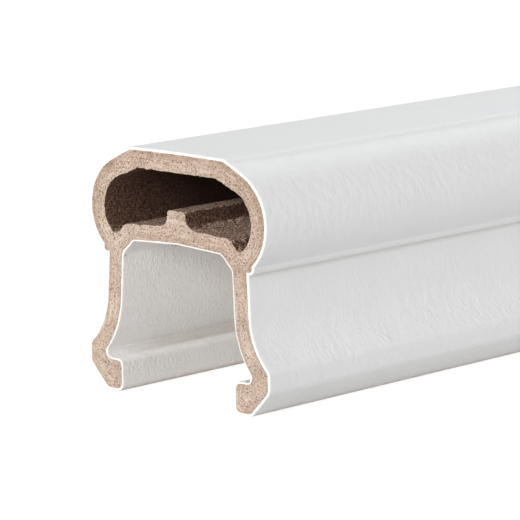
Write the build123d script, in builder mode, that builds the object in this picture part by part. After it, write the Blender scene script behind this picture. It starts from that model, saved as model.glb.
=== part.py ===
from build123d import *
import os
from math import asin, atan2, cos, hypot, radians, sin, sqrt, tan

# Top rail of a deck railing, sold by length. It is one hollow co-extruded profile:
# a wood composite core, and a white cap layer bonded over the whole outside of the core.
# The crown is the hand grip, with a closed chamber inside and a drip lip below each round side.
# Under it two legs make an open channel, which drops over the baluster rail and its brackets,
# and each leg ends in a foot with a ledge that points into the channel.
# X runs along the rail, Y across it, Z up. The origin is under the middle of the rail,
# on the plane that the two feet stand on. All sizes are in millimetres and degrees.

# Stock
rail_length = 1828.8
rail_height = 90.2
cap_thickness = 1.0
core_wall = 6.35
roof_wall = 6.5

# Crown
crown_width = 86.6
crown_flat_width = 46.4
bulge_radius = 20.0
shoulder_rise = 2.7
lip_setback = 6.4
lip_step = 2.2
lip_face_height = 2.7
lip_round = 1.3

# Chamber inside the crown
chamber_flat_inset = 3.6
pocket_angle = 45.0
pocket_radius = 2.4
pocket_wall_slope = 45.0
pocket_depth = 4.1
floor_round = 4.0
web_pitch = 2.9
web_thickness = 5.6

# Rib along the middle of the chamber's floor
rib_height = 5.8
rib_width = 8.2
rib_base_width = 12.2
rib_round = 1.2

# Legs and feet, with the channel between them
ceiling_round = 5.4
leg_lean = 3.0
sweep_radius = 25.0
foot_flare = 9.75
foot_length = 17.15
land_height = 7.7
chamfer_rise = 9.3
chamfer_run = 8.8
hook_depth = 7.5
hook_height = 2.3
land_round = 1.6
foot_round = 3.2
ledge_round = 2.8
hook_round = 1.4


def tangent_point(corner_y, corner_z, centre_y, centre_z, radius):
    # Where the line that falls outwards from a corner touches a round side
    reach = hypot(centre_y - corner_y, centre_z - corner_z)
    heading = atan2(centre_z - corner_z, centre_y - corner_y) + asin(radius / reach)
    length = sqrt(reach**2 - radius**2)
    return corner_y + length * cos(heading), corner_z + length * sin(heading)


def sweep_start(top_y, top_z, end_y, end_z, angle, radius):
    # How far down a leaning leg its outward sweep starts, for the sweep to end at a given corner
    away_y = top_y + radius * cos(angle) - end_y
    away_z = top_z + radius * sin(angle) - end_z
    along = away_y * sin(angle) - away_z * cos(angle)
    return -along - sqrt(along**2 - away_y**2 - away_z**2 + radius**2)


def corners(sketch, *places):
    # The corners of a symmetrical section at these places, on both of its sides
    found = ShapeList()
    for y, z in places:
        found += [v for v in sketch.vertices() if hypot(abs(v.X) - y, v.Y - z) < 0.01]
    return found


# Crown, worked out from the top down
flat_y = crown_flat_width / 2
bulge_y = crown_width / 2 - bulge_radius
bulge_z = rail_height - shoulder_rise - bulge_radius
lip_y = crown_width / 2 - lip_setback
neck_y = lip_y - lip_step
lip_top_z = bulge_z - sqrt(bulge_radius**2 - (lip_y - bulge_y) ** 2)
lip_z = lip_top_z - lip_face_height

# Chamber and web, whose floor is tied to the pockets at its two sides
chamber_radius = bulge_radius - cap_thickness - core_wall
chamber_top_z = rail_height - cap_thickness - roof_wall
chamber_flat_y = flat_y - chamber_flat_inset
pocket_reach = chamber_radius - pocket_radius
pocket_y = bulge_y + pocket_reach * cos(radians(pocket_angle))
pocket_z = bulge_z - pocket_reach * sin(radians(pocket_angle))
pocket_start_y = bulge_y + chamber_radius * cos(radians(pocket_angle))
pocket_start_z = bulge_z - chamber_radius * sin(radians(pocket_angle))
pocket_end_y = pocket_y - pocket_radius * sin(radians(pocket_wall_slope))
pocket_end_z = pocket_z - pocket_radius * cos(radians(pocket_wall_slope))
floor_corner_z = pocket_z - pocket_radius + pocket_depth
floor_corner_y = pocket_end_y - (floor_corner_z - pocket_end_z) / tan(radians(pocket_wall_slope))
pitch = tan(radians(web_pitch))
floor_peak_z = floor_corner_z + pitch * floor_corner_y
rib_top_z = floor_peak_z + rib_height
ceiling_peak_z = floor_peak_z - web_thickness - cap_thickness

# Legs and feet, worked out from the floor up
leg_thickness = core_wall + 2 * cap_thickness
land_y = neck_y + foot_flare
land_top_z = chamfer_rise + land_height
foot_y = land_y - chamfer_run
lean = radians(leg_lean)
leg_run = sweep_start(neck_y, lip_z, land_y, land_top_z, lean, sweep_radius)
leg_end_y = neck_y + leg_run * sin(lean)
leg_end_z = lip_z - leg_run * cos(lean)
inner_end_y = leg_end_y - leg_thickness * cos(lean)
inner_end_z = leg_end_z - leg_thickness * sin(lean)
sweep_y = leg_end_y + sweep_radius * cos(lean)
sweep_z = leg_end_z + sweep_radius * sin(lean)
inner_sweep_radius = sweep_radius + leg_thickness
ledge_y = land_y - foot_length
hook_y = ledge_y + hook_depth
hook_top_z = sweep_z - sqrt(inner_sweep_radius**2 - (sweep_y - hook_y) ** 2)
ledge_z = hook_top_z - hook_height
corner_reach = inner_end_y - (ceiling_peak_z - inner_end_z) * tan(lean)
corner_y = corner_reach / (1 - pitch * tan(lean))
corner_z = ceiling_peak_z - pitch * corner_y


# Outline of the capped rail
shoulder_end = tangent_point(flat_y, rail_height, bulge_y, bulge_z, bulge_radius)
with BuildSketch() as outline:
    with BuildLine():
        Line((0, rail_height), (flat_y, rail_height))
        Line((flat_y, rail_height), shoulder_end)
        RadiusArc(shoulder_end, (lip_y, lip_top_z), bulge_radius)
        Polyline((lip_y, lip_top_z), (lip_y, lip_z), (neck_y, lip_z), (leg_end_y, leg_end_z))
        RadiusArc((leg_end_y, leg_end_z), (land_y, land_top_z), -sweep_radius)
        Polyline(
            (land_y, land_top_z),
            (land_y, chamfer_rise),
            (foot_y, 0),
            (ledge_y, 0),
            (ledge_y, ledge_z),
            (hook_y, ledge_z),
            (hook_y, hook_top_z),
        )
        RadiusArc((hook_y, hook_top_z), (inner_end_y, inner_end_z), inner_sweep_radius)
        Polyline((inner_end_y, inner_end_z), (corner_y, corner_z), (0, ceiling_peak_z))
        mirror(about=Plane.YZ)
    make_face()
    fillet(corners(outline, (corner_y, corner_z)), ceiling_round)
    fillet(corners(outline, (lip_y, lip_z)), lip_round)
    fillet(corners(outline, (land_y, land_top_z), (land_y, chamfer_rise)), land_round)
    fillet(corners(outline, (foot_y, 0), (ledge_y, 0)), foot_round)
    fillet(corners(outline, (ledge_y, ledge_z)), ledge_round)
    fillet(corners(outline, (hook_y, ledge_z), (hook_y, hook_top_z)), hook_round)

# Outline of the core, one cap thickness inside
with BuildSketch() as core_outline:
    add(outline.sketch)
    offset(amount=-cap_thickness, kind=Kind.INTERSECTION)

# Chamber, with a pocket low in each side and the rib up from its floor
roof_end = tangent_point(chamber_flat_y, chamber_top_z, bulge_y, bulge_z, chamber_radius)
with BuildSketch() as chamber:
    with BuildLine():
        Line((0, chamber_top_z), (chamber_flat_y, chamber_top_z))
        Line((chamber_flat_y, chamber_top_z), roof_end)
        RadiusArc(roof_end, (pocket_start_y, pocket_start_z), chamber_radius)
        RadiusArc((pocket_start_y, pocket_start_z), (pocket_end_y, pocket_end_z), pocket_radius)
        Polyline(
            (pocket_end_y, pocket_end_z),
            (floor_corner_y, floor_corner_z),
            (rib_base_width / 2, floor_peak_z - pitch * rib_base_width / 2),
            (rib_width / 2, rib_top_z),
            (0, rib_top_z),
        )
        mirror(about=Plane.YZ)
    make_face()
    fillet(corners(chamber, (floor_corner_y, floor_corner_z)), floor_round)
    fillet(corners(chamber, (rib_base_width / 2, floor_peak_z - pitch * rib_base_width / 2)), rib_round)
    fillet(corners(chamber, (rib_width / 2, rib_top_z)), rib_round)

# The tan wood composite, with the chamber run right through it
with BuildPart() as wood_composite_core:
    with BuildSketch(Plane.YZ):
        add(core_outline.sketch)
        add(chamber.sketch, mode=Mode.SUBTRACT)
    extrude(amount=rail_length / 2, both=True)
wood_composite_core.part.label = "wood_composite_core"

# The white cap, bonded all round the core and along the inside of the channel
with BuildPart() as cap_layer:
    with BuildSketch(Plane.YZ):
        add(outline.sketch)
        add(core_outline.sketch, mode=Mode.SUBTRACT)
    extrude(amount=rail_length / 2, both=True)
cap_layer.part.label = "cap_layer"

os.makedirs("parts", exist_ok=True)
export_step(wood_composite_core.part, "parts/wood_composite_core.step")
export_step(cap_layer.part, "parts/cap_layer.step")
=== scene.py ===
# Deck rail: a hollow wood composite profile with a white cap bonded round it, sawn off at both ends.
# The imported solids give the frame. Both are modelled again here, with finer rounds, the cap's embossed
# skin, the sawn ends and the rough chamber, and these pieces stand in for them.
# Sections are drawn in millimetres, Y across and Z up, and turned to metres when a piece is finished.
import random
from math import asin, atan2, ceil, cos, exp, pi, radians, sin, sqrt, tan

import bmesh
import bpy
from mathutils import Matrix, Vector, noise
from mathutils.bvhtree import BVHTree


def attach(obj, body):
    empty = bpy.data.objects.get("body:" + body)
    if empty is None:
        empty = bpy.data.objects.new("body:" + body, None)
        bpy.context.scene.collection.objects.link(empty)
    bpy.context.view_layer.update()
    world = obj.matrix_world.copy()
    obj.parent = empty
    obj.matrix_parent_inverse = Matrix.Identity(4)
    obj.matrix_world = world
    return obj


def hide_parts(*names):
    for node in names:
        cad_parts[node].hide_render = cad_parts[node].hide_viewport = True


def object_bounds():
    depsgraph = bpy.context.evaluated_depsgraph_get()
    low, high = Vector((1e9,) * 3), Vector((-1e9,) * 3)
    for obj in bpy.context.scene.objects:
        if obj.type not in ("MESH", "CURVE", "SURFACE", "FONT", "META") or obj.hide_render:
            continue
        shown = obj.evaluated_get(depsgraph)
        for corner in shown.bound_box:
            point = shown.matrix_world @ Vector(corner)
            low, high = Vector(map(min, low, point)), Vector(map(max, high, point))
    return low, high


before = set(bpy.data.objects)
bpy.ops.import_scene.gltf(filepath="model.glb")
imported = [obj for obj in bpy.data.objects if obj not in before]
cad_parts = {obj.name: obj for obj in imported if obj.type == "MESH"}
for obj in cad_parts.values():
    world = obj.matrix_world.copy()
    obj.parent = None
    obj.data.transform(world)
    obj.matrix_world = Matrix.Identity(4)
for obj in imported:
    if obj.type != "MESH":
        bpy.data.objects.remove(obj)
cadLow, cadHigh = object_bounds()
mm = 0.001
railLength = (cadHigh.x - cadLow.x) / mm
railHeight = (cadHigh.z - cadLow.z) / mm
landHalf = cadHigh.y / mm
noise.seed_set(4)  # unseeded, noise_vector starts from another place each run
print("Frame loaded, rail %.1f mm long" % railLength)


# Section of the rail

section = {
    "cap": 1.0,
    "channelSkin": 0.6,
    "coreWall": 6.35,
    "roofWall": 6.5,
    "crownWidth": 86.6,
    "crownFlat": 46.4,
    "crownDome": 0.35,  # how far the crown's middle stands over its edges
    "bulgeRadius": 20.0,
    "shoulderDrop": 2.7,
    "lipSetback": 6.1,
    "lipStep": 2.5,
    "lipHeight": 2.98,
    "lipRound": 2.3,
    "legLean": 3.0,
    "sweepRadius": 25.0,
    "footLength": 17.15,
    "landHeight": 7.7,
    "chamferRise": 9.3,
    "chamferRun": 8.8,
    "hookDepth": 7.8,
    "hookHeight": 2.05,
    "ledgeFall": 0.1,
    "crownEdgeRound": 0.8,
    "landTopRound": 3.2,
    "landLowRound": 3.6,
    "footRound": 3.2,
    "ledgeRound": 2.8,
    "hookRound": 1.6,
    "hookTopRound": 1.0,
    "ceilingCut": 4.7,
    "ceilingRound": 2.0,
    "chamberInset": 3.6,
    "chamberDip": 0.3,
    "roofEdgeRound": 4.5,
    "pocketRadius": 2.4,
    "pocketDepth": 4.1,
    "floorRound": 4.0,
    "webPitch": 2.9,
    "webThickness": 5.6,
    "ribHeight": 5.8,
    "ribWidth": 8.4,
    "ribNeckDrop": 3.0,
    "ribNeckWidth": 9.0,
    "ribFlareRise": 0.9,
    "ribFlareWidth": 11.2,
    "ribBase": 15.4,
    "ribRound": 1.1,
}
lean = radians(section["legLean"])
legDown = Vector((sin(lean), -cos(lean)))
legOut = Vector((cos(lean), sin(lean)))
legThickness = section["coreWall"] + 2 * section["cap"]
pitch = tan(radians(section["webPitch"]))


def touchPoint(corner, centre, radius):
    # Where the line that falls outwards from a corner touches a round side
    away = centre - corner
    heading = atan2(away.y, away.x) + asin(radius / away.length)
    return corner + sqrt(away.length**2 - radius**2) * Vector((cos(heading), sin(heading)))


def bowCentre(start, end, bow):
    # Centre of the arc between two places. A bow above zero is to the left of the way between them
    way = end - start
    left = Vector((-way.y, way.x)).normalized()
    radius = (way.length_squared / 4 + bow**2) / (2 * abs(bow))
    return (start + end) / 2 + left * (bow - radius if bow > 0 else bow + radius)


def placeCrown(at):
    # Corners and arc centres of the +Y half, from the crown's middle to the neck under the lip
    s = section
    crownHalf = s["crownFlat"] / 2
    at["crownEdge"] = Vector((crownHalf, railHeight - s["crownDome"]))
    at["dome"] = Vector((0, railHeight - (crownHalf**2 + s["crownDome"] ** 2) / (2 * s["crownDome"])))
    bulgeY = s["crownWidth"] / 2 - s["bulgeRadius"]
    at["bulge"] = Vector((bulgeY, railHeight - s["shoulderDrop"] - s["bulgeRadius"]))
    at["shoulder"] = touchPoint(at["crownEdge"], at["bulge"], s["bulgeRadius"])
    lipReach = s["bulgeRadius"] - s["lipSetback"]
    at["lipTop"] = at["bulge"] + Vector((lipReach, -sqrt(s["bulgeRadius"] ** 2 - lipReach**2)))
    at["lip"] = at["lipTop"] - Vector((0, s["lipHeight"]))
    at["neck"] = at["lip"] - Vector((s["lipStep"], 0))


def placeLeg(at):
    # The sweep has to end at the land's top corner, which sets where it starts
    s = section
    at["landTop"] = Vector((landHalf, s["chamferRise"] + s["landHeight"]))
    gap = at["neck"] + s["sweepRadius"] * legOut - at["landTop"]
    run = -gap.dot(legDown) - sqrt(gap.dot(legDown) ** 2 - gap.length**2 + s["sweepRadius"] ** 2)
    at["legEnd"] = at["neck"] + run * legDown
    at["sweep"] = at["legEnd"] + s["sweepRadius"] * legOut
    at["legInside"] = at["legEnd"] - legThickness * legOut
    at["landLow"] = Vector((landHalf, s["chamferRise"]))
    at["footOut"] = Vector((landHalf - s["chamferRun"], 0))
    at["footIn"] = Vector((landHalf - s["footLength"], 0))
    hookY = at["footIn"].x + s["hookDepth"]
    innerRadius = s["sweepRadius"] + legThickness
    hookTopZ = at["sweep"].y - sqrt(innerRadius**2 - (at["sweep"].x - hookY) ** 2)
    at["hookTop"] = Vector((hookY, hookTopZ))
    at["hookLow"] = at["hookTop"] - Vector((0, s["hookHeight"]))
    at["ledge"] = Vector((at["footIn"].x, at["hookLow"].y - s["ledgeFall"]))


def placeChamber(at):
    # Round sides, a pocket low in each, and the floor that falls outwards from the rib
    s = section
    innerBulge = s["bulgeRadius"] - s["cap"] - s["coreWall"]
    slant = Vector((1, -1)).normalized()
    roofZ = railHeight - s["cap"] - s["roofWall"]
    at["roofEdge"] = Vector((at["crownEdge"].x - s["chamberInset"], roofZ))
    at["roofEnd"] = touchPoint(at["roofEdge"], at["bulge"], innerBulge)
    at["roofDip"] = bowCentre(at["roofEdge"], at["roofEnd"], -s["chamberDip"])
    at["pocketStart"] = at["bulge"] + innerBulge * slant
    at["pocket"] = at["bulge"] + (innerBulge - s["pocketRadius"]) * slant
    at["pocketEnd"] = at["pocket"] - s["pocketRadius"] * Vector((1, 1)).normalized()
    floorZ = at["pocket"].y - s["pocketRadius"] + s["pocketDepth"]
    at["floorCorner"] = Vector((at["pocketEnd"].x - (floorZ - at["pocketEnd"].y), floorZ))
    floorPeak = floorZ + pitch * at["floorCorner"].x
    at["floorPeak"] = Vector((0, floorPeak))
    at["ribFoot"] = Vector((s["ribBase"] / 2, floorPeak - pitch * s["ribBase"] / 2))
    at["ribFlare"] = Vector((s["ribFlareWidth"] / 2, floorPeak + s["ribFlareRise"]))
    at["ribTop"] = Vector((s["ribWidth"] / 2, floorPeak + s["ribHeight"]))
    at["ribNeck"] = Vector((s["ribNeckWidth"] / 2, at["ribTop"].y - s["ribNeckDrop"]))


def placeCeiling(at):
    # The web's underside is the channel's ceiling, and its corners are cut off
    s = section
    at["ceilingPeak"] = at["floorPeak"] - Vector((0, s["webThickness"] + s["cap"]))
    rise = at["ceilingPeak"].y - at["legInside"].y
    cornerY = (at["legInside"].x - rise * tan(lean)) / (1 - pitch * tan(lean))
    corner = Vector((cornerY, at["ceilingPeak"].y - pitch * cornerY))
    at["ceilingLow"] = corner + s["ceilingCut"] * legDown
    at["ceilingHigh"] = corner + s["ceilingCut"] * Vector((-1, pitch)).normalized()


places = {}
for placePart in (placeCrown, placeLeg, placeChamber, placeCeiling):
    placePart(places)


def roundCorner(mesh, corner, radius, spacing):
    # A vertex bevel whose offset makes it the round of that radius
    arms = [edge.other_vert(corner).co - corner.co for edge in corner.link_edges]
    opening = arms[0].angle(arms[1])
    steps = max(4, ceil((pi - opening) * radius / spacing))
    bmesh.ops.bevel(
        mesh,
        geom=[corner],
        offset=radius / tan(opening / 2),
        offset_type="OFFSET",
        affect="VERTICES",
        segments=steps,
        profile=0.5,
        material=-1,
        clamp_overlap=False,
    )


def drawLoop(start, route, spacing):
    # Half the loop from the middle plane round to it again, then its rounds, points and mirrored half.
    # Each leg of the route is where it goes, the centre if it is an arc, and the round at its end.
    mesh = bmesh.new()
    first = mesh.verts.new((0, *start))
    tip = first
    corners = []
    for place, centre, radius in route:
        if centre is None:
            end = mesh.verts.new((0, *place))
            mesh.edges.new((tip, end))
        else:
            arm = Vector(tip.co.yz) - centre
            turn = -arm.angle_signed(place - centre)
            swept = bmesh.ops.spin(
                mesh,
                geom=[tip],
                cent=(0, *centre),
                axis=(1, 0, 0),
                angle=turn,
                steps=ceil(abs(turn) * arm.length / spacing),
            )
            end = next(item for item in swept["geom_last"] if isinstance(item, bmesh.types.BMVert))
        if radius:
            corners.append((end, radius))
        tip = end
    middle = mesh.edges.new((tip, first))
    bmesh.ops.edgeloop_fill(mesh, edges=mesh.edges[:])
    for corner, radius in corners:
        roundCorner(mesh, corner, radius, spacing)
    bmesh.ops.delete(mesh, geom=[middle], context="EDGES")
    for edge in mesh.edges[:]:
        cuts = ceil(edge.calc_length() / spacing) - 1
        if cuts > 0:
            bmesh.ops.subdivide_edges(mesh, edges=[edge], cuts=cuts)
    bmesh.ops.mirror(mesh, geom=mesh.verts[:] + mesh.edges[:], matrix=Matrix(), merge_dist=0.001, axis="Y")
    return mesh


def drawOutline(spacing):
    at = places
    s = section
    route = [
        (at["crownEdge"], at["dome"], s["crownEdgeRound"]),
        (at["shoulder"], None, 0),
        (at["lipTop"], at["bulge"], 0),
        (at["lip"], None, s["lipRound"]),
        (at["neck"], None, 0),
        (at["legEnd"], None, 0),
        (at["landTop"], at["sweep"], s["landTopRound"]),
        (at["landLow"], None, s["landLowRound"]),
        (at["footOut"], None, s["footRound"]),
        (at["footIn"], None, s["footRound"]),
        (at["ledge"], None, s["ledgeRound"]),
        (at["hookLow"], None, s["hookRound"]),
        (at["hookTop"], None, s["hookTopRound"]),
        (at["legInside"], at["sweep"], 0),
        (at["ceilingLow"], None, s["ceilingRound"]),
        (at["ceilingHigh"], None, s["ceilingRound"]),
        (at["ceilingPeak"], None, 0),
    ]
    return drawLoop(Vector((0, railHeight)), route, spacing)


def drawChamber(spacing):
    at = places
    s = section
    route = [
        (at["roofEdge"], None, s["roofEdgeRound"]),
        (at["roofEnd"], at["roofDip"], 0),
        (at["pocketStart"], at["bulge"], 0),
        (at["pocketEnd"], at["pocket"], 0),
        (at["floorCorner"], None, s["floorRound"]),
        (at["ribFoot"], None, 2 * s["ribRound"]),
        (at["ribFlare"], None, 2 * s["ribRound"]),
        (at["ribNeck"], None, s["ribRound"]),
        (at["ribTop"], None, s["ribRound"]),
        (Vector((0, at["ribTop"].y)), None, 0),
    ]
    return drawLoop(Vector((0, at["roofEdge"].y)), route, spacing)


def insetByCap(mesh, whole):
    # Leaves the whole face one cap thickness smaller, and gives the ring of faces round it
    ring = bmesh.ops.inset_region(
        mesh, faces=[whole], thickness=section["cap"], use_boundary=True, use_even_offset=True
    )
    return ring["faces"]


def runAlong(mesh, marked, cuts, crowding):
    # Carries the section from the near end to the far one, and divides only the marked walls along the rail
    near = -railLength / 2
    for vert in mesh.verts:
        vert.co.x = near
    run = bmesh.ops.extrude_face_region(mesh, geom=mesh.faces[:])
    moved = [item for item in run["geom"] if isinstance(item, bmesh.types.BMVert)]
    bmesh.ops.translate(mesh, verts=moved, vec=(railLength, 0, 0))
    bmesh.ops.recalc_face_normals(mesh, faces=mesh.faces[:])
    if mesh.calc_volume(signed=True) < 0:
        bmesh.ops.reverse_faces(mesh, faces=mesh.faces[:])  # all alike by now, but inside out
    long = [
        edge for edge in mesh.edges
        if abs(edge.verts[0].co.x - edge.verts[1].co.x) > 1 and all(vert[marked] for vert in edge.verts)
    ]
    bmesh.ops.subdivide_edges(mesh, edges=long, cuts=cuts, use_grid_fill=True)
    for vert in mesh.verts:
        part = (vert.co.x - near) / railLength
        vert.co.x = near + railLength * (part - crowding * sin(2 * pi * part) / (2 * pi))


def holdEnds(mesh, gap):
    # A loop close to each end keeps the long faces' shading flat up to the sawn edge
    for place in (gap - railLength / 2, railLength / 2 - gap):
        everything = mesh.verts[:] + mesh.edges[:] + mesh.faces[:]
        bmesh.ops.bisect_plane(mesh, geom=everything, plane_co=(place, 0, 0), plane_no=(1, 0, 0))


def atEnd(vert):
    return abs(abs(vert.co.x) - railLength / 2) < 0.001


def finishPiece(mesh, name, materials, sharpAngle):
    bmesh.ops.scale(mesh, vec=(mm, mm, mm), verts=mesh.verts[:])
    data = bpy.data.meshes.new(name)
    mesh.to_mesh(data)
    mesh.free()
    data.shade_smooth()
    data.set_sharp_from_angle(angle=radians(sharpAngle))
    for material in materials:
        data.materials.append(material)
    piece = bpy.data.objects.new(name, data)
    bpy.context.scene.collection.objects.link(piece)
    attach(piece, "root")
    print("%s: %d triangles" % (name, sum(len(face.vertices) - 2 for face in data.polygons)))
    return piece


# Material helpers


def newMaterial(name):
    material = bpy.data.materials.new(name)
    material.use_nodes = True
    material.node_tree.nodes.clear()
    return material, material.node_tree


def addNode(tree, kind, links=None, **settings):
    # Settings are the node's own options. Links go to its sockets: another socket, or a plain value
    node = tree.nodes.new("ShaderNode" + kind)
    for key, value in settings.items():
        setattr(node, key, value)
    for key, value in (links or {}).items():
        if isinstance(value, bpy.types.NodeSocket):
            tree.links.new(value, node.inputs[key])
        else:
            node.inputs[key].default_value = value
    return node


def blendColours(tree, factor, first, second):
    return addNode(tree, "Mix", {0: factor, 6: first, 7: second}, data_type="RGBA").outputs[2]


def mixValues(tree, factor, first, second):
    return addNode(tree, "Mix", {0: factor, 2: first, 3: second}).outputs[0]


def pointShare(tree, name):
    # A share that the mesh holds at each of its points
    return addNode(tree, "Attribute", attribute_name=name).outputs["Fac"]


def calculate(tree, operation, first, second=0.0):
    return addNode(tree, "Math", {0: first, 1: second}, operation=operation).outputs[0]


def remap(tree, value, low, high, toLow=0.0, toHigh=1.0):
    node = addNode(tree, "MapRange", {0: value, 1: low, 2: high, 3: toLow, 4: toHigh})
    return node.outputs[0]


def eased(tree, value, low, high):
    # From 0 to 1 between two values, without a kink at either
    node = addNode(tree, "MapRange", {0: value, 1: low, 2: high}, interpolation_type="SMOOTHSTEP")
    return node.outputs[0]


def noiseAt(tree, vector, size, detail=2.0, rough=0.5, distortion=0.0):
    # Noise whose marks are about that size, in metres
    links = {"Vector": vector, "Scale": 1 / size, "Detail": detail}
    links.update({"Roughness": rough, "Distortion": distortion})
    return addNode(tree, "TexNoise", links).outputs["Fac"]


def stretched(tree, vector, turn, size):
    # Coordinates turned by some degrees and divided by a size along each axis: a mark is about 1 there
    links = {"Vector": vector, "Rotation": (0, 0, radians(turn)), "Scale": size}
    return addNode(tree, "Mapping", links, vector_type="TEXTURE").outputs[0]


def distanceFromEnd(tree, along):
    # Metres to the nearer sawn end
    return calculate(tree, "SUBTRACT", railLength / 2 * mm, calculate(tree, "ABSOLUTE", along))


def bumped(tree, height, depth, below=None):
    links = {"Height": height, "Distance": depth, "Strength": 1.0}
    if below is not None:
        links["Normal"] = below
    return addNode(tree, "Bump", links).outputs[0]


def finishMaterial(material, tree, links):
    shader = addNode(tree, "BsdfPrincipled", links)
    addNode(tree, "OutputMaterial", {"Surface": shader.outputs[0]})
    return material


# White cap

cap = {
    # Shape, in mm
    "spacing": 1.7,  # between points round the section
    "cuts": 240,  # how many times the rail is divided along its length
    "crowding": 0.6,  # 0 spaces the cuts evenly, near 1 brings them to the two ends
    "waveDepth": 0.1,
    "waveSize": (34.0, 15.0, 15.0),
    "wobble": 0.13,  # of the line between cap and core
    "wobbleSize": 2.6,
    "edgeRound": 0.17,  # the sawn edge is broken a little
    "holdGap": 0.8,
    "channelHalf": [(16.0, 35.0), (30.0, 31.0)],  # the channel's skin lies inside: height, half width
    "channelTop": 57.5,
    # Painted shade and highlight, in mm
    "paintedShadeReach": 1.0,  # painted shade round the corner under the drip lip
    "paintedShadeShare": 0.5,
    "recessFrom": (-0.8, 0.6),  # from the lower corner of the ledge's recess to the middle of its painted shade
    "recessReach": 3.4,
    "recessShare": 0.9,
    "recessSetsIn": (6.0, 36.0),  # from the cut end, over which that painted shade sets in
    "faceTop": 1.5,  # under the ledge's top, from where there is a little painted shade on its face
    "faceShare": 0.25,
    "soleRise": 1.6,  # how far up the feet's round edges are painted with brown shade
    "paintedHighlightFrom": 0.8,  # from the ledge's round to the middle of its painted highlight
    "paintedHighlightReach": 3.3,
    # Colours, and the sizes of their marks in metres
    "colour": (0.82, 0.818, 0.814, 1),
    "cloudColour": (0.806, 0.803, 0.797, 1),
    "cloudSize": 0.02,
    "innerColour": (0.85, 0.813, 0.773, 1),  # inner is the channel's side
    # paler colour painted on the crests of the channel's wrinkles, as painted light
    "innerPale": (0.89, 0.875, 0.86, 1),
    # painted light, paler deeper in the channel
    "innerPaintedLight": (0.945, 0.905, 0.862, 1),
    # painted shade in the corners, the recess and down the ledge's face
    "paintedShadeColour": (0.64, 0.595, 0.54, 1),
    # painted highlight along the ledges' top edges, broken into patches of the next size
    "paintedHighlightColour": (1.0, 1.0, 0.99, 1),
    "glintSize": 0.003,
    # painted brown shade along the feet's bottom edges
    "soleShadeColour": (0.48, 0.27, 0.14, 1),
    "streakSize": 0.004,
    "cutColour": (0.9, 0.9, 0.89, 1),
    "cutScratched": (0.8, 0.78, 0.75, 1),
    "scratchSize": 0.0004,
    "scratchDepth": 0.00004,
    # Relief of the skin, in metres
    "wrinkleLeans": (4.0, 24.0),  # degrees
    "wrinkleSize": (0.0013, 0.002, 1.0),
    "wrinkleDepth": 0.0003,
    "innerLeans": (-14.0, 10.0),
    "innerSize": (0.00105, 0.0018, 1.0),
    "innerDepth": 0.0004,
    "leanPatch": 0.016,  # over which the wrinkles change their lean
    "reliefPatch": 0.012,  # and over which they fade and come back
    "mottleSize": (0.0032, 0.004, 1.0),
    "mottleDepth": 0.00034,
    "coveFall": (0.001, 0.0038),  # from the crown's edge, over which a shallow cove falls
    "coveReturn": (0.0038, 0.0085),  # and comes back
    "coveDepth": 0.00036,
    "grainSize": 0.0005,
    "grainDepth": 0.000006,
    # How strongly the wrinkles show at heights in mm
    "outerBands": [
        (0.0, 0.7), (9.0, 0.7), (11.0, 0.75), (17.0, 0.8), (20.0, 1.1), (27.0, 1.0), (40.0, 0.6),
        (50.0, 0.4), (54.0, 0.4), (62.0, 0.45), (70.0, 0.8), (80.0, 1.1), (85.0, 0.7), (88.0, 0.8),
        (92.0, 0.8),
    ],
    "innerBands": [
        (0.0, 0.75), (6.0, 0.75), (9.0, 1.35), (12.5, 1.35), (15.0, 1.0), (30.0, 0.7), (40.0, 0.9),
        (50.0, 1.7), (60.0, 1.7),
    ],
}


def wobbleLine(vert):
    # The line between cap and core isn't clean. It is the same for both, and all along the rail
    drag = noise.noise_vector(Vector((0, vert.co.y, vert.co.z)) / cap["wobbleSize"])
    vert.co += Vector((0, drag.y, drag.z)) * cap["wobble"]


def between(value, low, high):
    # 0 up to the low value, 1 from the high one
    return min(1.0, max(0.0, (value - low) / (high - low)))


def inChannel(place):
    # The channel's walls lie inside a line that closes from the ledges up to the legs
    (lowZ, lowHalf), (highZ, highHalf) = cap["channelHalf"]
    half = lowHalf + (highHalf - lowHalf) * between(place.z, lowZ, highZ)
    return place.z < cap["channelTop"] and abs(place.y) < half


def thinShare(place):
    # The skin is thinner in the channel, from a little above the feet
    return between(place.z, 0.0, 5.0) if inChannel(place) else 0.0


def nearShare(place, line, reach):
    # 1 on a line along the rail, down to 0 at that reach round it, and the same on both sides
    return max(0.0, 1.0 - (Vector((abs(place.y), place.z)) - line).length / reach)


def paintedShadeShare(place):
    # Painted shade in the corner under the lip, in the recess over the ledge (growing away from the cut
    # ends), and down the ledge's face
    recess = places["hookLow"] + Vector(cap["recessFrom"])
    blendShare = between(railLength / 2 - abs(place.x), *cap["recessSetsIn"])
    onFace = inChannel(place) and place.z < places["ledge"].y - cap["faceTop"]
    return max(
        cap["paintedShadeShare"] * nearShare(place, places["neck"], cap["paintedShadeReach"]),
        cap["recessShare"] * nearShare(place, recess, cap["recessReach"]) * blendShare,
        cap["faceShare"] * onFace,
    )


def soleShadeShare(place):
    # Painted brown shade, strongest at the feet's bottom edges
    return max(0.0, 1.0 - place.z / cap["soleRise"])


def paintedHighlightShare(place):
    # Painted highlight along the round top edge of each ledge
    edge = places["ledge"] + Vector((section["ledgeRound"] + cap["paintedHighlightFrom"], 0))
    return nearShare(place, edge, cap["paintedHighlightReach"])


def wrinkleShare(place):
    bands = cap["innerBands"] if inChannel(place) else cap["outerBands"]
    for (lowZ, lowShare), (highZ, highShare) in zip(bands, bands[1:]):
        if place.z <= highZ:
            return lowShare + (highShare - lowShare) * between(place.z, lowZ, highZ)
    return bands[-1][1]


def embossing(tree, uv, leans, size):
    # Short wrinkles across the rail that lean one way or the other from place to place
    marks = [noiseAt(tree, stretched(tree, uv, lean, size), 1, 2.0, 0.5, 0.6) for lean in leans]
    share = remap(tree, noiseAt(tree, uv, cap["leanPatch"], 1.0), 0.44, 0.56)
    return mixValues(tree, share, *marks)


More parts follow.
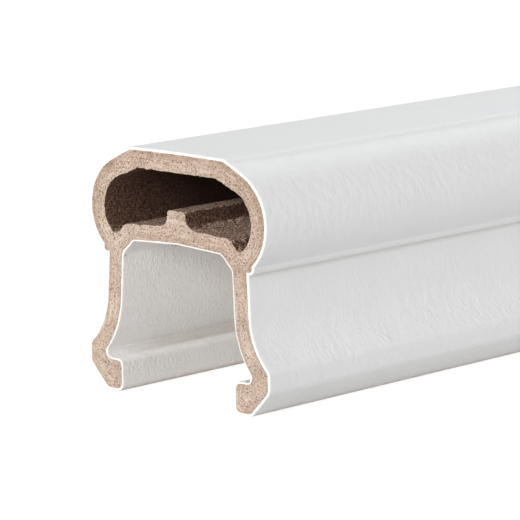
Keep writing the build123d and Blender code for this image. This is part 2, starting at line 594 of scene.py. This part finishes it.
def skinRelief(tree, uv, place, inner, marks):
    # The embossing is uneven, and fainter on the crown. A coarser mottle and a fine grain lie over it
    share = pointShare(tree, "wrinkle")
    high = remap(tree, addNode(tree, "SeparateXYZ", {0: place}).outputs[2], 0.045, 0.065)
    patch = remap(tree, noiseAt(tree, place, cap["reliefPatch"], 1.0), 0.35, 0.65, 0.45, 1.0)
    patch = calculate(tree, "MULTIPLY", patch, mixValues(tree, high, 1.0, 0.5))
    height = calculate(tree, "MULTIPLY", marks, calculate(tree, "MULTIPLY", share, patch))
    relief = bumped(tree, height, mixValues(tree, inner, cap["wrinkleDepth"], cap["innerDepth"]))
    mottle = noiseAt(tree, stretched(tree, uv, 8, cap["mottleSize"]), 1, 1.0)
    mottled = mixValues(tree, inner, mixValues(tree, high, 0.6, 0.85), 0.4)
    mottle = calculate(tree, "MULTIPLY", calculate(tree, "MULTIPLY", mottle, share), mottled)
    relief = bumped(tree, mottle, cap["mottleDepth"], relief)
    relief = coveRelief(tree, place, relief)
    return bumped(tree, noiseAt(tree, place, cap["grainSize"], 2.0), cap["grainDepth"], relief)


def coveRelief(tree, place, below):
    # A shallow cove along each edge of the crown's flat
    _, across, up = addNode(tree, "SeparateXYZ", {0: place}).outputs
    fromMiddle = calculate(tree, "ABSOLUTE", across)
    fromCrown = calculate(tree, "SUBTRACT", fromMiddle, section["crownFlat"] / 2 * mm)
    falls = eased(tree, fromCrown, *cap["coveFall"])
    cove = calculate(tree, "SUBTRACT", eased(tree, fromCrown, *cap["coveReturn"]), falls)
    cove = calculate(tree, "MULTIPLY", cove, remap(tree, up, 0.074, 0.08))
    return bumped(tree, cove, cap["coveDepth"], below)


def skinColour(tree, place, inner, marks):
    # White outside, and a warmer white in the channel, with painted light making it paler further in from
    # the cut ends
    along, _, up = addNode(tree, "SeparateXYZ", {0: place}).outputs
    cloud = remap(tree, noiseAt(tree, place, cap["cloudSize"], 2.0), 0.3, 0.7)
    outerColour = blendColours(tree, cloud, cap["colour"], cap["cloudColour"])
    # Painted light and shade on the channel's wrinkles: paler on their crests, warmer in their hollows
    innerColour = blendColours(tree, remap(tree, marks, 0.35, 0.65), cap["innerColour"], cap["innerPale"])
    # Painted light: the channel's skin is paler further in from the cut ends and higher up
    paintedLightByDepth = remap(tree, distanceFromEnd(tree, along), 0.02, 0.06)
    paintedLightByDepth = calculate(tree, "MULTIPLY", paintedLightByDepth, remap(tree, up, 0.016, 0.03))
    innerColour = blendColours(tree, paintedLightByDepth, innerColour, cap["innerPaintedLight"])
    return blendColours(tree, inner, outerColour, innerColour)


def paintedLightAndShade(tree, place, colour):
    # Painted shade in the corners, a painted highlight along the ledges and painted brown shade round the
    # feet
    colour = blendColours(tree, pointShare(tree, "paintedShade"), colour, cap["paintedShadeColour"])
    # Painted highlight along the ledges, in patches
    glints = remap(tree, noiseAt(tree, place, cap["glintSize"], 2.0), 0.4, 0.6, 1.0, 1.7)
    paintedHighlight = calculate(tree, "MULTIPLY", pointShare(tree, "paintedHighlight"), glints)
    colour = blendColours(tree, paintedHighlight, colour, cap["paintedHighlightColour"])
    # Painted brown shade round the feet's bottom edges, in streaks
    streaks = remap(tree, noiseAt(tree, place, cap["streakSize"], 2.0), 0.35, 0.65, 0.3, 0.8)
    soleShaded = calculate(tree, "MULTIPLY", pointShare(tree, "soleShade"), streaks)
    return blendColours(tree, soleShaded, colour, cap["soleShadeColour"])


def capSkinMaterial():
    material, tree = newMaterial("whiteCapSkin")
    uv = addNode(tree, "UVMap", uv_map="girth").outputs[0]
    place = addNode(tree, "TexCoord").outputs["Object"]
    inner = pointShare(tree, "inner")
    outerMarks = embossing(tree, uv, cap["wrinkleLeans"], cap["wrinkleSize"])
    innerMarks = embossing(tree, uv, cap["innerLeans"], cap["innerSize"])
    marks = mixValues(tree, inner, outerMarks, innerMarks)
    return finishMaterial(material, tree, {
        "Base Color": paintedLightAndShade(tree, place, skinColour(tree, place, inner, marks)),
        "Roughness": remap(tree, marks, 0.3, 0.7, 0.58, 0.48),
        "Specular IOR Level": 0.25,
        "Normal": skinRelief(tree, uv, place, inner, marks),
    })


def capCutMaterial():
    material, tree = newMaterial("sawnCapEdge")
    place = addNode(tree, "TexCoord").outputs["Object"]
    scratch = noiseAt(tree, place, cap["scratchSize"], 2.0)
    scratched = remap(tree, scratch, 0.55, 0.75)
    colour = blendColours(tree, scratched, cap["cutColour"], cap["cutScratched"])
    return finishMaterial(material, tree, {
        "Base Color": colour,
        "Roughness": 0.7,
        "Specular IOR Level": 0.3,
        "Normal": bumped(tree, scratch, cap["scratchDepth"]),
    })


def drawCap():
    # The ring between the outline and the core's line, run along the rail. It also gives the way round it
    mesh = drawOutline(cap["spacing"])
    whole = bmesh.ops.edgeloop_fill(mesh, edges=mesh.edges[:])["faces"][0]
    girth = mesh.verts.layers.float.new("girthAt")
    walked = 0.0
    for loop in whole.loops:
        loop.vert[girth] = walked
        walked += loop.edge.calc_length()
    insetByCap(mesh, whole)
    skin = mesh.verts.layers.int.new("skin")
    coreLine = set(whole.verts)
    for vert in mesh.verts:
        vert[skin] = vert not in coreLine
    bmesh.ops.delete(mesh, geom=[whole], context="FACES")
    runAlong(mesh, skin, cap["cuts"], cap["crowding"])
    holdEnds(mesh, cap["holdGap"])
    rim = [edge for edge in mesh.edges if all(vert[skin] and atEnd(vert) for vert in edge.verts)]
    bmesh.ops.bevel(
        mesh,
        geom=rim,
        offset=cap["edgeRound"],
        offset_type="OFFSET",
        affect="EDGES",
        segments=2,
        profile=0.5,
        material=-1,
    )
    return mesh, walked


def markSkin(mesh):
    # What the skin's material reads at each point
    shares = {
        "wrinkle": wrinkleShare,
        "inner": inChannel,
        # the next three are painted: shade in the corners, a highlight on the ledges, brown shade round the
        # feet
        "paintedShade": paintedShadeShare,
        "paintedHighlight": paintedHighlightShare,
        "soleShade": soleShadeShare,
    }
    for name, share in shares.items():
        layer = mesh.verts.layers.float.new(name)
        for vert in mesh.verts:
            vert[layer] = share(vert.co)


def waveSkin(mesh):
    # Gentle waves, only ever inwards, so that the rail keeps its box
    skin = mesh.verts.layers.int["skin"]
    thinner = section["cap"] - section["channelSkin"]
    mesh.normal_update()
    waves = []
    for vert in mesh.verts:
        if vert[skin]:
            outwards = Vector((0, vert.normal.y, vert.normal.z)).normalized()
            wave = 0.5 + 0.5 * noise.noise(Vector([c / size for c, size in zip(vert.co, cap["waveSize"])]))
            waves.append((vert, outwards * (wave * cap["waveDepth"] + thinner * thinShare(vert.co))))
        else:
            wobbleLine(vert)
    for vert, wave in waves:
        vert.co -= wave


def unwrapSkin(mesh, wholeGirth):
    # U runs along the rail and V round the section, both in metres
    girth = mesh.verts.layers.float["girthAt"]
    uvs = mesh.loops.layers.uv.new("girth")
    for face in mesh.faces:
        ends = [loop.vert[girth] for loop in face.loops]
        wraps = max(ends) - min(ends) > wholeGirth / 2
        for loop in face.loops:
            around = loop.vert[girth]
            if wraps and around < wholeGirth / 2:
                around += wholeGirth
            loop[uvs].uv = (loop.vert.co.x * mm, around * mm)


def buildCap():
    mesh, wholeGirth = drawCap()
    markSkin(mesh)
    waveSkin(mesh)
    unwrapSkin(mesh, wholeGirth)
    for face in mesh.faces:
        face.material_index = int(abs(face.normal.x) > 0.6)
    tree = BVHTree.FromBMesh(mesh)
    materials = [capSkinMaterial(), capCutMaterial()]
    piece = finishPiece(mesh, "white_cap", materials, 30)
    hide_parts("cap_layer")
    return tree


# Wood composite core

core = {
    # Shape, in mm
    "spacing": 1.4,  # between points round the chamber
    "faceSize": 1.1,  # edges of the sawn faces
    "cuts": 190,
    "crowding": 0.88,
    "roughDepth": 0.12,
    "roughSize": 2.4,
    "chipDepth": 0.4,
    "chipSize": 1.4,
    "chipReach": 1.4,  # along the rail
    "sawDepth": 0.06,
    "sawSize": 1.6,
    # Sawn face, in metres
    "gritSize": 0.00044,
    "gritDepth": 0.00015,
    "grainSize": 0.0009,
    "grainDepth": 0.0002,
    "bandSize": (0.009, 0.01, 0.01),
    "bandShift": 9.0,  # how much the bands follow the walls
    "patchSize": 0.007,
    "fleckSize": 0.0014,
    "fleckShare": 0.7,
    "crownShade": 0.2,  # how much browner the crown is on its -Y side
    "legPaleness": 0.14,
    "colour": (0.55, 0.407, 0.312, 1),
    "paleColour": (0.75, 0.625, 0.53, 1),
    "darkColour": (0.28, 0.17, 0.11, 1),
    "fleckColour": (0.12, 0.07, 0.045, 1),
    # Chamber, in metres
    "chamberColour": (0.122, 0.065, 0.044, 1),
    "chamberPale": (0.29, 0.18, 0.132, 1),
    "chamberDark": (0.02, 0.009, 0.006, 1),
    "chamberPaintedShade": (0.032, 0.015, 0.011, 1),
    "shadeDeepens": (0.004, 0.05),  # from the cut end, over which the walls turn plain and darken with painted shade
    # pale dust with painted light, on the chamber's upward faces
    "dustAndLightColour": (0.99, 0.71, 0.555, 1),
    "dustAndLightDark": (0.155, 0.09, 0.062, 1),
    "coarseSize": 0.0024,
    "speckleSize": 0.0006,
    "chamberRelief": 0.0003,
    # Crumbs, in mm
    "crumbStrings": 6,
    "crumbSpread": (-2.5, 6.0),  # across the rail
    "crumbInset": (0.5, 1.2),  # behind the cut end
    "crumbRoot": 0.35,  # over the ceiling's face, from where a string hangs
    "crumbCorner": (-0.1, -0.4),  # from the ceiling's low corner to the first string
    "crumbSize": (0.17, 0.34),
    "crumbRelief": 0.08,
    "crumbColour": (0.42, 0.26, 0.16, 1),
}


def banded(tree, place, fromCap, body):
    # Pale bands that follow the walls, and darker patches
    shift = calculate(tree, "MULTIPLY", fromCap, core["bandShift"])
    flow = addNode(tree, "CombineXYZ", {0: shift, 1: 0.0, 2: 0.0}).outputs[0]
    along = addNode(tree, "VectorMath", {0: place, 1: flow}, operation="ADD").outputs[0]
    bands = noiseAt(tree, stretched(tree, along, 0, core["bandSize"]), 1, 3.0, 0.6, 0.4)
    body = blendColours(tree, remap(tree, bands, 0.53, 0.66, 0.0, 0.65), body, core["paleColour"])
    patch = noiseAt(tree, place, core["patchSize"], 1.0)
    return blendColours(tree, remap(tree, patch, 0.5, 0.68, 0.0, 0.3), body, core["darkColour"])


def shaded(tree, place, body):
    # The crown is browner on its -Y side, and the legs are paler
    _, across, up = addNode(tree, "SeparateXYZ", {0: place}).outputs
    inCrown = remap(tree, up, 0.052, 0.068, 0.0, core["crownShade"])
    browner = calculate(tree, "MULTIPLY", remap(tree, across, 0.024, -0.024), inCrown)
    body = blendColours(tree, browner, body, core["darkColour"])
    inLegs = remap(tree, up, 0.056, 0.046, 0.0, core["legPaleness"])
    return blendColours(tree, inLegs, body, core["paleColour"])


def flecked(tree, place, body):
    # Some of the cells have a dark fleck in the middle
    cells = addNode(tree, "TexVoronoi", {"Vector": place, "Scale": 1 / core["fleckSize"]})
    pick = addNode(tree, "SeparateColor", {0: cells.outputs["Color"]}).outputs[0]
    near = remap(tree, cells.outputs["Distance"], 0.18, 0.28, 1.0, 0.0)
    shown = calculate(tree, "MULTIPLY", near, remap(tree, pick, 0.7, 0.85))
    shown = calculate(tree, "MULTIPLY", shown, core["fleckShare"])
    return blendColours(tree, shown, body, core["fleckColour"])


def coreSawnMaterial():
    # Sawn grit: worm-like grains of wood in the plastic, a little darker beside the cap
    material, tree = newMaterial("sawnComposite")
    place = addNode(tree, "TexCoord").outputs["Object"]
    fromCap = pointShare(tree, "fromCap")
    grit = noiseAt(tree, place, core["gritSize"], 1.0, 0.6, 1.0)
    grain = noiseAt(tree, place, core["grainSize"], 2.0, 0.6, 0.6)
    body = blendColours(tree, remap(tree, grit, 0.46, 0.6), core["colour"], core["paleColour"])
    body = blendColours(tree, remap(tree, grit, 0.46, 0.34), body, core["darkColour"])
    body = blendColours(tree, remap(tree, grain, 0.5, 0.64, 0.0, 0.68), body, core["darkColour"])
    besideCap = remap(tree, fromCap, 0.0008, 0.0035, 0.3, 0.0)
    body = blendColours(tree, besideCap, body, core["darkColour"])
    body = banded(tree, place, fromCap, body)
    body = shaded(tree, place, body)
    body = flecked(tree, place, body)
    relief = bumped(tree, grain, core["grainDepth"])
    relief = bumped(tree, grit, core["gritDepth"], relief)
    return finishMaterial(material, tree, {
        "Base Color": body,
        "Roughness": 0.9,
        "Specular IOR Level": 0.15,
        "Normal": relief,
    })


def chamberMaterial():
    # The chamber's wall is rough, speckled near the cut ends and darker further in, which is painted shade.
    # Dust and painted light make what faces up pale
    material, tree = newMaterial("roughChamberWall")
    place = addNode(tree, "TexCoord").outputs["Object"]
    coarse = noiseAt(tree, place, core["coarseSize"], 2.0, 0.6, 0.5)
    fine = noiseAt(tree, place, core["speckleSize"], 2.0, 0.6, 0.3)
    stains = remap(tree, coarse, 0.4, 0.7, 0.0, 0.3)
    body = blendColours(tree, stains, core["chamberColour"], core["chamberDark"])
    body = blendColours(tree, remap(tree, fine, 0.5, 0.62, 0.0, 0.75), body, core["chamberPale"])
    body = blendColours(tree, remap(tree, fine, 0.5, 0.38, 0.0, 0.75), body, core["chamberDark"])
    along = addNode(tree, "SeparateXYZ", {0: place}).outputs[0]
    # Painted shade: the wall darkens further in from the cut ends
    paintedLightByDepth = remap(tree, distanceFromEnd(tree, along), *core["shadeDeepens"], 0.0, 0.9)
    body = blendColours(tree, paintedLightByDepth, body, core["chamberPaintedShade"])
    # Dust and painted light pale the faces that look up
    dustAndLight = blendColours(tree, remap(tree, fine, 0.43, 0.6), core["dustAndLightDark"], core["dustAndLightColour"])
    upwards = addNode(tree, "SeparateXYZ", {0: addNode(tree, "NewGeometry").outputs["Normal"]}).outputs[2]
    blendShare = calculate(tree, "ADD", upwards, remap(tree, coarse, 0.3, 0.7, -0.2, 0.2))
    body = blendColours(tree, remap(tree, blendShare, 0.64, 1.06), body, dustAndLight)
    relief = bumped(tree, coarse, core["chamberRelief"])
    relief = bumped(tree, fine, core["chamberRelief"], relief)
    return finishMaterial(material, tree, {
        "Base Color": body,
        "Roughness": 0.9,
        "Specular IOR Level": 0.1,
        "Normal": relief,
    })


def refineFace(mesh, size):
    # Divides the fill's inner edges until they are short, and lets the new points settle between the others
    for _ in range(4):
        inside = [edge for edge in mesh.edges if len(edge.link_faces) == 2]
        long = [edge for edge in inside if edge.calc_length() > size * 1.5]
        if not long:
            break
        bmesh.ops.subdivide_edges(mesh, edges=long, cuts=1)
        bmesh.ops.triangulate(mesh, faces=mesh.faces[:], quad_method="BEAUTY", ngon_method="BEAUTY")
        inside = [edge for edge in mesh.edges if len(edge.link_faces) == 2]
        bmesh.ops.beautify_fill(mesh, faces=mesh.faces[:], edges=inside, method="AREA")
        loose = [vert for vert in mesh.verts if not vert.is_boundary]
        for _ in range(3):
            bmesh.ops.smooth_vert(mesh, verts=loose, factor=0.5, use_axis_y=True, use_axis_z=True)


def addChamberLoop(mesh):
    # The chamber's points are marked as wall before they join the core's
    chamber = drawChamber(core["spacing"])
    wall = chamber.verts.layers.int.new("chamberWall")
    for vert in chamber.verts:
        vert[wall] = 1
    loop = bpy.data.meshes.new("chamberLoop")
    chamber.to_mesh(loop)
    chamber.free()
    mesh.from_mesh(loop)
    bpy.data.meshes.remove(loop)
    return mesh.verts.layers.int["chamberWall"]


def roughenCore(mesh, wall, capTree):
    # The sawn faces are dented, and the chamber's wall is rough, with chips along its cut edge
    fromCap = mesh.verts.layers.float.new("fromCap")
    mesh.normal_update()
    moves = []
    for vert in mesh.verts:
        ending = atEnd(vert)
        bordering = any(abs(edge.verts[0].co.x - edge.verts[1].co.x) > 1 for edge in vert.link_edges)
        if ending:
            vert[fromCap] = capTree.find_nearest(vert.co)[3] * mm
        if ending and not bordering:
            dent = abs(noise.fractal(vert.co / core["sawSize"], 0.9, 2.0, 3)) * core["sawDepth"]
            inwards = -1 if vert.co.x > 0 else 1
            moves.append((vert, Vector((dent * inwards, 0, 0))))
        elif vert[wall]:
            intoWall = -Vector((0, vert.normal.y, vert.normal.z)).normalized()
            rough = noise.fractal(vert.co / core["roughSize"], 0.8, 2.0, 3) * core["roughDepth"]
            chip = noise.noise(Vector((0, vert.co.y, vert.co.z)) / core["chipSize"]) * core["chipDepth"]
            fromEnd = railLength / 2 - abs(vert.co.x)
            moves.append((vert, intoWall * (rough + chip * exp(-fromEnd / core["chipReach"]))))
    for vert, move in moves:
        vert.co += move


def buildCore(capTree):
    # The core's outline is the cap's inner line, so both come from the same inset
    mesh = drawOutline(cap["spacing"])
    whole = bmesh.ops.edgeloop_fill(mesh, edges=mesh.edges[:])["faces"][0]
    ring = insetByCap(mesh, whole)
    bmesh.ops.delete(mesh, geom=ring, context="FACES")
    bmesh.ops.delete(mesh, geom=[whole], context="FACES_ONLY")
    for vert in mesh.verts:
        wobbleLine(vert)
    wall = addChamberLoop(mesh)
    bmesh.ops.triangle_fill(mesh, use_beauty=True, use_dissolve=False, edges=mesh.edges[:])
    refineFace(mesh, core["faceSize"])
    runAlong(mesh, wall, core["cuts"], core["crowding"])
    roughenCore(mesh, wall, capTree)
    for face in mesh.faces:
        face.material_index = int(abs(face.normal.x) < 0.5)
    materials = [coreSawnMaterial(), chamberMaterial()]
    piece = finishPiece(mesh, "composite_core", materials, 50)
    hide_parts("wood_composite_core")


def crumbMaterial():
    material, tree = newMaterial("sawdustCrumb")
    place = addNode(tree, "TexCoord").outputs["Object"]
    grain = noiseAt(tree, place, core["gritSize"], 2.0)
    colour = blendColours(tree, remap(tree, grain, 0.4, 0.6), core["crumbColour"], core["colour"])
    relief = bumped(tree, grain, core["crumbRelief"] * mm)
    return finishMaterial(material, tree, {"Base Color": colour, "Roughness": 0.95, "Normal": relief})


def buildCrumbs():
    # Sawdust still hangs from the channel's cut edge, one string in the corner and the rest near the middle
    mesh = bmesh.new()
    drawn = random.Random(7)
    for index in range(core["crumbStrings"]):
        if index == 0:
            tip = Vector((0, *(places["ceilingLow"] + Vector(core["crumbCorner"]))))
        else:
            across = drawn.uniform(*core["crumbSpread"])
            root = places["ceilingPeak"].y - pitch * abs(across) + core["crumbRoot"]
            tip = Vector((0, across, root))
        tip.x = drawn.uniform(*core["crumbInset"]) - railLength / 2
        for _ in range(drawn.randint(2, 5)):
            size = drawn.uniform(*core["crumbSize"])
            grown = bmesh.ops.create_icosphere(mesh, subdivisions=2, radius=size)["verts"]
            for vert in grown:
                vert.co += noise.noise_vector(vert.co * 4.0 + tip) * size * 0.6 + tip
            tip += Vector((drawn.uniform(-0.1, 0.2), drawn.uniform(-0.35, 0.35), -1.1 * size))
    finishPiece(mesh, "sawdust", [crumbMaterial()], 40)


capTree = buildCap()
buildCore(capTree)
buildCrumbs()


# Floor, light and camera

studio = {
    "worldStrength": 0.28,
    "floorSize": 60.0,
    "floorColour": (0.87, 0.87, 0.87, 1),
    "floorCloud": (0.85, 0.85, 0.845, 1),
    "floorGlow": 0.86,  # share of plain white that the camera sees on the floor, over its shaded look
    "glowStrength": 1.08,
    "lamps": [
        # name, direction that it shines from, strength, how wide it is in degrees, colour
        ("lowWindow", (-0.8576, -0.4951, 0.1392), 0.95, 16.0, (1.0, 1.0, 1.0)),
        ("tallWindow", (-0.8397, -0.4465, 0.309), 0.8, 16.0, (1.0, 1.0, 1.0)),
        ("endSky", (-0.8925, -0.1574, 0.4226), 1.05, 30.0, (1.0, 1.0, 1.0)),
        ("sideSky", (0.0, -0.5, 0.866), 0.3, 30.0, (0.95, 0.975, 1.0)),
        ("shoulderLamp", (0.72, 0.37, 0.58), 0.68, 25.0, (0.93, 0.965, 1.0)),
        ("backSky", (0.45, 0.75, 0.45), 0.15, 40.0, (0.93, 0.965, 1.0)),
    ],
    "cameraPlace": (-1.8022, -0.8689, 0.2739),
    "cameraHeading": -46.97,
    "cameraTilt": 79.845,
    "cameraRoll": -0.384,
    "lens": 247.8,
    "sensor": 36.0,
}


def backdropRays(tree):
    # 1 for the rays that should meet a plain white studio: from the camera, off gloss or through glass
    path = addNode(tree, "LightPath")
    seen = calculate(tree, "MAXIMUM", path.outputs["Is Camera Ray"], path.outputs["Is Glossy Ray"])
    return calculate(tree, "MAXIMUM", seen, path.outputs["Is Transmission Ray"])


def floorMaterial():
    material, tree = newMaterial("paleFloor")
    place = addNode(tree, "TexCoord").outputs["Object"]
    cloud = remap(tree, noiseAt(tree, place, 0.4, 2.0), 0.3, 0.7)
    colour = blendColours(tree, cloud, studio["floorColour"], studio["floorCloud"])
    matte = addNode(tree, "BsdfDiffuse", {"Color": colour})
    white = addNode(tree, "Emission", {"Color": (1, 1, 1, 1), "Strength": studio["glowStrength"]})
    share = calculate(tree, "MULTIPLY", backdropRays(tree), studio["floorGlow"])
    mixed = addNode(tree, "MixShader", {0: share, 1: matte.outputs[0], 2: white.outputs[0]})
    addNode(tree, "OutputMaterial", {"Surface": mixed.outputs[0]})
    return material


def buildFloor():
    mesh = bmesh.new()
    bmesh.ops.create_grid(mesh, x_segments=1, y_segments=1, size=studio["floorSize"])
    data = bpy.data.meshes.new("studioFloor")
    mesh.to_mesh(data)
    mesh.free()
    data.materials.append(floorMaterial())
    floor = bpy.data.objects.new("studioFloor", data)
    bpy.context.scene.collection.objects.link(floor)


def lightStudio():
    world = bpy.data.worlds.new("studioWorld")
    bpy.context.scene.world = world
    world.use_nodes = True
    tree = world.node_tree
    tree.nodes.clear()
    fill = addNode(tree, "Background", {"Color": (1, 1, 1, 1), "Strength": studio["worldStrength"]})
    white = addNode(tree, "Background", {"Color": (1, 1, 1, 1), "Strength": 1.0})
    mixed = addNode(tree, "MixShader", {0: backdropRays(tree), 1: fill.outputs[0], 2: white.outputs[0]})
    addNode(tree, "OutputWorld", {"Surface": mixed.outputs[0]})
    for name, direction, strength, width, colour in studio["lamps"]:
        lamp = bpy.data.lights.new(name, "SUN")
        lamp.energy = strength
        lamp.color = colour
        lamp.angle = radians(width)
        holder = bpy.data.objects.new(name, lamp)
        holder.rotation_euler = Vector(direction).to_track_quat("Z", "Y").to_euler()
        bpy.context.scene.collection.objects.link(holder)


def placeCamera():
    data = bpy.data.cameras.new("photoCamera")
    data.lens = studio["lens"]
    data.sensor_width = studio["sensor"]
    data.clip_end = 200
    camera = bpy.data.objects.new("photoCamera", data)
    turn = Matrix.Rotation(radians(studio["cameraHeading"]), 4, "Z")
    turn = turn @ Matrix.Rotation(radians(studio["cameraTilt"]), 4, "X")
    turn = turn @ Matrix.Rotation(radians(studio["cameraRoll"]), 4, "Z")
    camera.matrix_world = Matrix.Translation(studio["cameraPlace"]) @ turn
    bpy.context.scene.collection.objects.link(camera)
    bpy.context.scene.camera = camera


buildFloor()
lightStudio()
placeCamera()
bpy.context.scene.view_settings.view_transform = "Standard"
print("Studio set")
